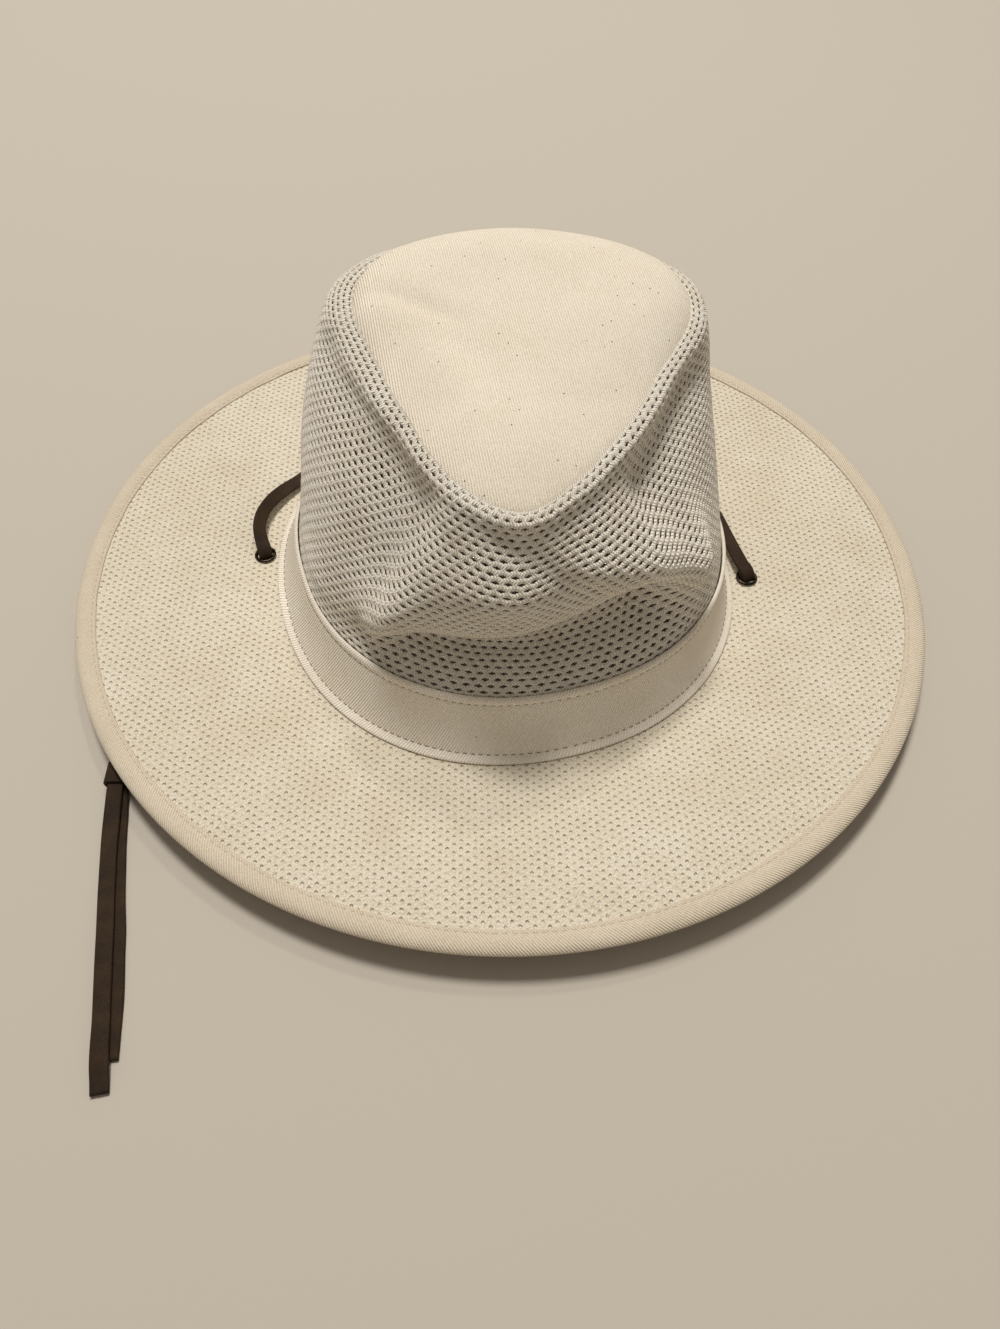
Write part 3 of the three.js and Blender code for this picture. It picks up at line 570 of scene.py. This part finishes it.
def brimKnit():
    # stiffened close knit: staggered rows of small arrow-head pits, laid straight across the hat; its fibre
    # and loops are drawn as coarse as they need to show
    material, tree, shader = newMaterial("cream stiffened knit", {
        "Roughness": 0.9, "Specular IOR Level": 0.2, "Sheen Weight": 0.15, "Sheen Roughness": 0.6})
    coords = addNode(tree, "ShaderNodeTexCoord").outputs["Object"]
    wobble = addNode(tree, "ShaderNodeTexNoise", {
        "Vector": coords, "Scale": 1 / (brimPits["wobbleLength"] * mm), "Detail": 2}).outputs["Color"]
    shifted = addNode(tree, "ShaderNodeVectorMath", {
        0: wobble, 1: (brimPits["wobble"] * mm,) * 3, 2: coords}, operation="MULTIPLY_ADD")
    axes = addNode(tree, "ShaderNodeSeparateXYZ", {0: shifted})
    row = weigh(tree, 0, (axes.outputs[1], 1 / (brimPits["rowHeight"] * mm)))
    odd = row
    for operation, second in (("FLOOR", 0), ("FLOORED_MODULO", 2)):
        odd = addNode(tree, "ShaderNodeMath", {0: odd, 1: second}, operation=operation)
    column = weigh(tree, 0, (odd, 0.5), (axes.outputs[0], 1 / (brimPits["pitch"] * mm)))
    across = offMiddle(tree, column)
    up = addNode(tree, "ShaderNodeMath", {0: row}, operation="FRACT")
    arrow = addNode(tree, "ShaderNodeMath", {
        0: weigh(tree, -0.7, (across, 2.6), (up, 1))}, operation="ABSOLUTE")
    patches = addNode(tree, "ShaderNodeTexNoise", {
        "Vector": coords, "Scale": 1 / (brimPits["patches"] * mm), "Detail": 2})
    pit = addNode(tree, "ShaderNodeMath", {
        0: patches, 1: 2.6, 2: -0.5}, operation="MULTIPLY_ADD", use_clamp=True)
    for distance, full, gone in ((arrow, 0.06, 0.26), (across, 0.07, 0.16)):
        inside = addNode(tree, "ShaderNodeMapRange", {"Value": distance, 1: full, 2: gone, 3: 1.0, 4: 0.0},
                         interpolation_type="SMOOTHSTEP")
        pit = addNode(tree, "ShaderNodeMath", {0: pit, 1: inside}, operation="MULTIPLY")
    fibre = addNode(tree, "ShaderNodeTexNoise", {
        "Vector": coords, "Scale": 1 / (brimPits["fibre"] * mm), "Detail": 5, "Roughness": 0.75})
    loops = addNode(tree, "ShaderNodeTexVoronoi", {"Vector": coords, "Scale": 1 / (brimPits["loops"] * mm)})
    clouds = addNode(tree, "ShaderNodeTexNoise", {
        "Vector": coords, "Scale": 1 / (brimPits["clouds"] * mm), "Detail": 4})
    # the last colour, a darker brown in the pits, is painted shade in those recesses, on top of their relief
    tone = linearColour("#e2d5ba")
    for amount, colour in ((weigh(tree, -1.0, (fibre, 2.1), (clouds, 0.9)), "#fffaec"),
                           (weigh(tree, 0, (loops, 0.45)), "#b5a07c"),
                           (weigh(tree, 0, (pit, 0.62)), "#684a28")):
        tone = addNode(tree, "ShaderNodeMix", {
            0: amount, 6: tone, 7: linearColour(colour)}, data_type="RGBA").outputs[2]
    colourAndRelief(tree, shader, tone, weigh(tree, 0, (pit, -1.2), (fibre, 0.5), (loops, -0.9)), 0.95, 0.5)
    return material


tipTwill = creamCotton("cream tip twill", "#fff6e6", "#e3d4bb", slant=-10, flecks=0.82)
bandTwill = creamCotton("cream band twill", "#fffaf0", "#eddcc2", uvMap="cloth", slant=28, pitch=1.05,
                        flecks=0.93)
bindingTwill = creamCotton("cream binding twill", "#ecdfca", "#cfbfa5", uvMap="cloth", slant=40, flecks=0.98)
netYarn = knitCotton()
brimCloth = brimKnit()


# crown mesh: a staggered grid of cells laid flat, each inset to leave its strands, then wrapped on the wall
def crownNet():
    s = netSizes
    columns, rows = s["columns"] * 2, s["rows"]
    bm = bmesh.new()
    bmesh.ops.create_grid(bm, x_segments=columns, y_segments=rows, size=0.5)
    for vert in bm.verts:
        column, row = round((vert.co.x + 0.5) * columns), round((vert.co.y + 0.5) * rows)
        wave = s["wave"] * (1 if (column + row) % 2 == 0 else -1) * (0 < row < rows)
        vert.co = (column * s["pitch"] / 2, row * s["rowHeight"] + wave, 0)
    between = []
    for edge in bm.edges:
        a, b = edge.verts
        if abs(a.co.x - b.co.x) < 0.01 and not edge.is_boundary:
            column = round(a.co.x / s["pitch"] * 2)
            row = int(min(a.co.y, b.co.y) / s["rowHeight"] + 0.5)
            if (column + row) % 2:
                between.append(edge)
    bmesh.ops.dissolve_edges(bm, edges=between, use_verts=False)
    cells = list(bm.faces)
    borderStart = (rows - s["borderRows"]) * s["rowHeight"]
    plain = [f for f in cells if f.calc_center_median().y < borderStart]
    border = [f for f in cells if f.calc_center_median().y >= borderStart]
    for chosen, strand in ((plain, s["strand"]), (border, s["borderStrand"])):
        bmesh.ops.inset_individual(bm, faces=chosen, thickness=strand, depth=-s["dip"], use_even_offset=True)
    bmesh.ops.delete(bm, geom=cells, context="FACES")
    grown = bmesh.ops.extrude_face_region(bm, geom=list(bm.faces), use_keep_orig=True)["geom"]
    for vert in (g for g in grown if isinstance(g, bmesh.types.BMVert)):
        vert.co.z = -s["dip"] - s["thickness"]
    bmesh.ops.recalc_face_normals(bm, faces=bm.faces)
    uvLayer = bm.loops.layers.uv.new("cloth")
    for face in bm.faces:
        for loop in face.loops:
            loop[uvLayer].uv = loop.vert.co.xy * mm
    flat = np.array([vert.co for vert in bm.verts])
    width, tall = s["columns"] * s["pitch"], rows * s["rowHeight"]
    jitter = np.array([noise.noise_vector(Vector((x, y, 3.0)) * 0.45) for x, y, _ in flat]) * s["uneven"]
    edgeFade = np.clip(np.minimum(flat[:, 0], width - flat[:, 0]) / 4, 0, 1)  # so that its two ends meet
    share = np.clip((flat[:, 0] + jitter[:, 0] * edgeFade) / width, 0, 1)
    high = np.clip((flat[:, 1] + jitter[:, 1]) / tall, 0, 1)
    bordering = np.clip((flat[:, 1] - borderStart + 1.5) / 3, 0, 1)
    lift = flat[:, 2] * (1 + 0.5 * bordering) + s["borderLift"] * bordering + s["lift"] + jitter[:, 2]
    place(bm, onWall(columnAngle(share, high), high, lift))
    bmesh.ops.remove_doubles(bm, verts=bm.verts, dist=0.05 * mm)
    bmesh.ops.recalc_face_normals(bm, faces=bm.faces)
    piece = makePiece("crown_mesh", bm, netYarn, ("crown_side",))
    print("crown mesh:", len(piece.data.polygons), "faces")
    return piece


crownNet()


farOut = 1000  # a closed profile is spun this far from the axis, so that none of its points meets it


def turned(name, profile, shape, turns, material, replaced=(), closed=True, smoothing=1):
    # spins a profile of (across, up) points in millimetres, then puts each point where shape says
    bm = bmesh.new()
    runLayer = bm.verts.layers.float.new("run")
    uvLayer = bm.loops.layers.uv.new("cloth")
    verts, run = [], 0.0
    for k, (across, upward) in enumerate(profile):
        vert = bm.verts.new((across + (farOut if closed else 0), 0, upward))
        run += math.dist(profile[k - 1], profile[k]) if k else 0
        vert[runLayer] = run
        verts.append(vert)
    pairs = list(zip(verts, verts[1:])) + ([(verts[-1], verts[0])] if closed else [])
    whole = run + (math.dist(profile[-1], profile[0]) if closed else 0)
    edges = [bm.edges.new(pair) for pair in pairs]
    bmesh.ops.spin(bm, geom=verts + edges, cent=(0, 0, 0), axis=(0, 0, 1), angle=math.tau, steps=turns,
                   use_merge=True)
    if not closed:
        bmesh.ops.remove_doubles(bm, verts=bm.verts, dist=1e-4)
    bm.verts.index_update()
    flat = np.array([vert.co for vert in bm.verts])
    angle = np.mod(np.degrees(np.arctan2(flat[:, 1], flat[:, 0])), 360)
    angle[angle > 359.999] = 0
    across = np.hypot(flat[:, 0], flat[:, 1]) - (farOut if closed else 0)
    points = shape(angle, across, flat[:, 2])
    girth = np.ptp(points[:, 0]) * math.pi
    for face in bm.faces:
        turnsHere = [angle[loop.vert.index] for loop in face.loops]
        runsHere = [loop.vert[runLayer] for loop in face.loops]
        for loop, a, r in zip(face.loops, turnsHere, runsHere):
            a += 360 if max(turnsHere) - min(turnsHere) > 180 and a < 180 else 0
            r += whole if closed and max(runsHere) - min(runsHere) > whole / 2 and r < whole / 2 else 0
            loop[uvLayer].uv = (a / 360 * girth * mm, r * mm)
    place(bm, points)
    bmesh.ops.recalc_face_normals(bm, faces=bm.faces)
    piece = makePiece(name, bm, material, replaced)
    if smoothing:
        rounded = piece.modifiers.new("rounded", "SUBSURF")
        rounded.levels = rounded.render_levels = smoothing
    return piece


# tip: one twill panel, a little lower than the mesh border that it is sewn to
tipSizes = {"cloth": 1.2, "sunk": 0.9, "rings": 26}


def tipShape(angle, across, side):
    point = tipPoint(angle, across)
    point[:, 2] -= tipSizes["sunk"] * np.clip((across - 0.93) / 0.07, 0, 1) ** 2
    point[:, 2] += ripple(point * (1, 1, 0), 30, 0.7, 5) * (1 - across)
    point[:, 2] -= np.where(side > 0.5, 0, tipSizes["cloth"])
    return point


rings = np.linspace(0, 1, tipSizes["rings"])
tipProfile = [(s, 1) for s in rings] + [(s, 0) for s in rings[::-1]]
turned("tip_panel", tipProfile, tipShape, 120, tipTwill, ("crown_tip",), closed=False, smoothing=0)


# seam allowance of the tip, turned down behind the first rows of the mesh
allowance = {"reachesDownTo": 1.72, "behind": 1.9, "cloth": 0.5}


def allowanceShape(angle, down, inward):
    point = sidePoint(angle, 2 - down * (2 - allowance["reachesDownTo"]))
    back = allowance["behind"] + inward * allowance["cloth"]
    spin = np.radians(angle)
    inset = back * np.clip(down * 3, 0.3, 1)
    point[:, 0] -= np.cos(spin) * inset
    point[:, 1] -= np.sin(spin) * inset
    point[:, 2] -= back
    return point


downs = np.linspace(0, 1, 6)
allowanceProfile = [(d, 0) for d in downs] + [(d, 1) for d in downs[::-1]]
turned("tip_seam_allowance", allowanceProfile, allowanceShape, 120, tipTwill, smoothing=0)


# band: folded bead at its top, a flat pressed wall and a lip that flares out on the brim
# profile: how far out from the foot's oval and how high, from the inner bottom edge round by the lip
bandProfile = [
    (0.35, 6.6), (0.8, 6.4), (4.7, 6.4), (5.6, 6.55), (5.95, 6.95), (5.8, 7.45), (5.1, 7.85), (4.3, 8.15),
    (3.75, 8.45), (3.35, 8.6), (3.25, 9.0), (3.05, 10.0), (2.6, 12.2), (2.15, 15), (1.8, 18), (1.65, 22),
    (1.7, 26.6), (1.7, 27.6), (1.35, 28.1), (1.75, 28.7), (2.1, 29.6), (2.05, 30.6), (1.5, 31.2),
    (0.7, 31.1), (0.35, 30.5), (0.35, 20),
]
bandSizes = {"middle": 19, "halfHeight": 9, "bulge": 0.7, "edge": 26, "edgeRun": 4, "edgeWave": 0.35,
             "lipStitches": (3.4, 8.72), "edgeStitches": (1.42, 28.1)}


def bandShape(angle, off, height):
    v = (height - crownSizes["foot"]["z"]) / (crownSizes["waist"]["z"] - crownSizes["foot"]["z"])
    fx, fy = ovalPoint(crownSizes["foot"], angle, off)
    wx, wy = ovalPoint(crownSizes["waist"], angle, off)
    point = np.column_stack([fx + (wx - fx) * v, fy + (wy - fy) * v, height])
    bulging = bump(height - bandSizes["middle"], bandSizes["halfHeight"])
    out = point[:, :2] / np.linalg.norm(point[:, :2], axis=1)[:, None]
    point[:, :2] += out * (ripple(point, 22, bandSizes["bulge"], 9) * bulging)[:, None]
    nearEdge = np.clip((height - bandSizes["edge"]) / bandSizes["edgeRun"], 0, 1)
    point[:, 2] += ripple(point, 18, bandSizes["edgeWave"], 2) * nearEdge
    return point


turned("band", bandProfile, bandShape, 180, bandTwill, ("hat_band",))


def stitchRow(name, count, length, thick, shape, off, height, material):
    # one short thread dash for each stitch, laid along the row
    bm = bmesh.new()
    angle = np.arange(count) * 360 / count
    at = shape(angle, np.full(count, off), np.full(count, height))
    ahead = shape(angle + 0.2, np.full(count, off), np.full(count, height))
    for k in range(count):
        run = Vector(ahead[k] - at[k]).normalized()
        turn = Vector((1, 0, 0)).rotation_difference(run).to_matrix().to_4x4()
        size = Matrix.Diagonal((length / 2 * mm, thick / 2 * mm, thick / 2 * mm, 1))
        spot = Matrix.Translation(Vector(at[k]) * mm) @ turn @ size
        bmesh.ops.create_icosphere(bm, subdivisions=1, radius=1, matrix=spot)
    return makePiece(name, bm, material)


def thread(name, dark, pale):
    # fine matte sewing thread, with its own twist about 0.4 mm long
    material, tree, shader = newMaterial(name, {"Roughness": 0.75})
    coords = addNode(tree, "ShaderNodeTexCoord").outputs["Object"]
    twist = addNode(tree, "ShaderNodeTexNoise", {"Vector": coords, "Scale": 1 / (0.4 * mm), "Detail": 3})
    tone = addNode(tree, "ShaderNodeMix", {
        0: twist, 6: linearColour(dark), 7: linearColour(pale)}, data_type="RGBA").outputs[2]
    tree.links.new(tone, shader.inputs["Base Color"])
    return material


# the band's thread is coloured darker than its tan: painted shade of the needle holes along its stitch rows
bandThread = thread("tan sewing thread darkened with painted hole shade", "#7d6a4d", "#b09a76")
stitchRow("stitches_band_bottom", 196, 2.2, 0.42, bandShape, *bandSizes["lipStitches"], bandThread)
stitchRow("stitches_band_top", 188, 2.2, 0.42, bandShape, *bandSizes["edgeStitches"], bandThread)


# brim: stiff knit, on a flat turned hem round the head opening
rimSizes = {
    "halfWidth": 180, "halfLength": 173.3, "exponent": 2.02, "height": 7.4, "sideLift": 2.9,
    "frontLift": 5.6, "frontReach": 2.1, "root": 6, "cloth": 2.0, "hem": 5, "slope": 3.5, "run": 86.7,
    "binding": 8.6,
}


def rimHeight(angle):
    side = np.cos(np.radians(angle)) ** 2
    front = np.minimum(0, np.sin(np.radians(angle))) ** 2
    return rimSizes["height"] + rimSizes["sideLift"] * side + rimSizes["frontLift"] * front


def rimPoint(angle, off):
    x, y = ovalPoint(rimSizes, angle, off)
    return x, y - rimSizes["frontReach"] * np.minimum(0, np.sin(np.radians(angle))) ** 4


def brimShape(angle, run, side):
    s = rimSizes
    ix, iy = ovalPoint(crownSizes["foot"], angle, -1.5)
    ox, oy = rimPoint(angle, -2.6)
    t = run / s["run"]
    k = np.clip(run / (s["run"] - s["binding"]), 0, 1)
    top = s["root"] + (rimHeight(angle) + s["cloth"] / 2 - s["root"]) * k * k * (3 - 2 * k)
    flat = np.column_stack([ix + (ox - ix) * t, iy + (oy - iy) * t, 0 * t])
    top = top + ripple(flat, 45, 0.7, 4) * np.sin(np.clip(t, 0, 1) * math.pi)
    cloth = np.clip((run - s["hem"]) / s["slope"], 0, 1)
    bottom = (top - s["cloth"]) * cloth
    flat[:, 2] = bottom + (top - bottom) * side
    return flat


# how far out from the head opening each ring of the brim lies
brimRings = [0.4, 2.5, 4.8, 5.2, 6.5, 8.2, 9, 14, 22, 30, 38, 46, 54, 62, 70, 75, 78.1, 84, 86.7]
brimProfile = [(0, 0.12)] + [(r, 0) for r in brimRings] + [(r, 1) for r in brimRings[::-1]] + [(0, 0.88)]
turned("brim_cloth", brimProfile, brimShape, 180, brimCloth, ("brim",), smoothing=0)


# binding: padded twill tape folded over the rim and stitched along its inner edge
bindingSizes = {"padMiddle": 4.2, "padHalf": 2.6, "innerEdge": 7.6, "edgeWave": 0.5,
                "stitches": (-7.2, 1.82)}


def bindingShape(angle, off, height):
    x, y = rimPoint(angle, off)
    point = np.column_stack([x, y, rimHeight(angle) + height])
    pad = np.sign(height) * bump(off + bindingSizes["padMiddle"], bindingSizes["padHalf"])
    point[:, 2] += pad * (ripple(point * (1, 1, 0), 9, 0.35, 11) + ripple(point * (1, 1, 0), 3.2, 0.18, 12))
    inner = np.clip(-off - bindingSizes["innerEdge"], 0, 1)
    spin = np.radians(angle)
    sway = ripple(point * (1, 1, 0), 14, bindingSizes["edgeWave"], 13) * inner
    point[:, 0] += np.cos(spin) * sway
    point[:, 1] += np.sin(spin) * sway
    return point


# profile: how far out from the rim and how high, from the inner edge over the top to the rim and back below
half = [(-8.5, 0.95), (-8.65, 1.25), (-8.45, 1.65), (-7.9, 1.85), (-7.2, 1.75), (-6.6, 2.05), (-5.4, 2.4),
        (-4.0, 2.5), (-2.4, 2.3), (-1.1, 1.7), (-0.3, 0.8)]
inside = [(-2.5, -1.35), (-2.5, 1.35)]
bindingProfile = half + [(0, 0)] + [(a, -b) for a, b in half[::-1]] + inside
turned("rim_binding", bindingProfile, bindingShape, 300, bindingTwill, ("brim_binding",))

rimThread = thread("cream sewing thread", "#a8997c", "#ddd0b6")
stitchRow("stitches_binding", 340, 2.2, 0.36, bindingShape, *bindingSizes["stitches"], rimThread)


# eyelets: dark plated grommets with a rolled flange
eyeletSizes = {"bore": 3.3, "barrel": 3.7, "flange": 4.7}


def darkMetal():
    # black-bronze plating, smooth, a little brassy where it is rubbed, in spots about 1.4 mm wide
    material, tree, shader = newMaterial("black bronze plating", {"Metallic": 1.0})
    coords = addNode(tree, "ShaderNodeTexCoord").outputs["Object"]
    rub = addNode(tree, "ShaderNodeTexNoise", {"Vector": coords, "Scale": 1 / (1.43 * mm), "Detail": 4})
    tone = addNode(tree, "ShaderNodeMix", {
        0: weigh(tree, -1.9, (rub, 4.0)), 6: linearColour("#2a2420"), 7: linearColour("#5c4c38")},
        data_type="RGBA").outputs[2]
    tree.links.new(tone, shader.inputs["Base Color"])
    tree.links.new(weigh(tree, 0.16, (rub, 0.25)).outputs[0], shader.inputs["Roughness"])
    return material


def grommet(side):
    low, high = (Vector(corner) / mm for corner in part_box("eyelet_" + side))
    centre = (low + high) / 2
    bottom, top = low.z, high.z
    bore, barrel, flange = (eyeletSizes[k] for k in ("bore", "barrel", "flange"))
    inner = [(bore + 0.35, bottom), (bore, bottom + 0.3), (bore, centre.z), (bore, top - 0.3),
             (bore + 0.35, top)]
    outer = [(flange - 0.5, top - 0.02), (flange - 0.1, top - 0.25), (flange, top - 0.55),
             (flange - 0.15, top - 0.68), (barrel, top - 0.7), (barrel, bottom + 0.7),
             (flange - 0.15, bottom + 0.68), (flange, bottom + 0.5), (flange - 0.3, bottom)]

    def eyeletShape(angle, across, height):
        spin = np.radians(angle)
        return np.column_stack([centre.x + across * np.cos(spin), centre.y + across * np.sin(spin), height])

    turned("grommet_" + side, inner + outer, eyeletShape, 48, plating, ("eyelet_" + side,))


plating = darkMetal()
for side in ("left", "right"):
    grommet(side)


# slide: a flat sleeve of the same leather
slideSizes = {"width": 11.2, "height": 5.9, "length": 9, "cloth": 1.1, "corner": 2.5}


def laceSlide():
    s = slideSizes
    low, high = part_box("lace_slide")
    centre = (Vector(low) + Vector(high)) / 2
    bm = bmesh.new()
    loops = []
    for shrink in (0, s["cloth"]):
        w, h, r = s["width"] / 2 - shrink, s["height"] / 2 - shrink, s["corner"] - shrink * 0.75
        loop = []
        for quarter, (sx, sz) in enumerate(((1, 1), (-1, 1), (-1, -1), (1, -1))):
            for k in range(5):
                a = math.radians(90 * quarter + 22.5 * k)
                loop.append(bm.verts.new(((sx * (w - r) + r * math.cos(a)) * mm, -s["length"] / 2 * mm,
                                          (sz * (h - r) + r * math.sin(a)) * mm)))
        loops += [bm.edges.new((loop[i], loop[(i + 1) % len(loop)])) for i in range(len(loop))]
    ring = bmesh.ops.bridge_loops(bm, edges=loops)["faces"]
    grown = bmesh.ops.extrude_face_region(bm, geom=ring, use_keep_orig=True)["geom"]
    bmesh.ops.translate(bm, verts=[g for g in grown if isinstance(g, bmesh.types.BMVert)],
                        vec=(0, s["length"] * mm, 0))
    bmesh.ops.recalc_face_normals(bm, faces=bm.faces)
    rims = [e for e in bm.edges if e.calc_face_angle(0) > math.radians(60)]
    bmesh.ops.bevel(bm, geom=rims, offset=0.4 * mm, segments=3, profile=0.5, affect="EDGES", material=-1)
    bmesh.ops.translate(bm, verts=bm.verts, vec=centre)
    return makePiece("leather_slide", bm, leather, ("lace_slide",))


slide = laceSlide()
print("crown, band, brim, eyelets and slide made")


# floor, lamps and sky, with places in metres and power in watts
room = {
    "floor": "#c4bcaf", "sky": "#fcf3e7", "skyStrength": 0.262,
    "lamps": {
        "ceiling lamps": {"at": (-0.29, 0.88, 2.86), "size": 0.62, "power": 64, "colour": "#fffcf7"},
        "far lamp": {"at": (0.39, 1.53, 2.55), "size": 0.2, "power": 10, "colour": "#fffaf0"},
    },
}


def studio():
    bm = bmesh.new()
    bmesh.ops.create_grid(bm, x_segments=1, y_segments=1, size=3)
    mesh = bpy.data.meshes.new("floor")
    bm.to_mesh(mesh)
    bm.free()
    material, _, _ = newMaterial("pale floor", {
        "Base Color": linearColour(room["floor"]), "Roughness": 0.9, "Specular IOR Level": 0.2})
    mesh.materials.append(material)
    floor = bpy.data.objects.new("floor", mesh)
    bpy.context.scene.collection.objects.link(floor)
    for name, facts in room["lamps"].items():
        data = bpy.data.lights.new(name, "AREA")
        data.size, data.energy = facts["size"], facts["power"]
        data.color = linearColour(facts["colour"])[:3]
        lamp = bpy.data.objects.new(name, data)
        lamp.location = facts["at"]
        lamp.rotation_euler = (-Vector(facts["at"])).to_track_quat("-Z", "Y").to_euler()
        bpy.context.scene.collection.objects.link(lamp)
    world = bpy.data.worlds.new("room light")
    bpy.context.scene.world = world
    world.use_nodes = True
    sky = world.node_tree.nodes["Background"].inputs
    sky["Color"].default_value = linearColour(room["sky"])
    sky["Strength"].default_value = room["skyStrength"]


studio()
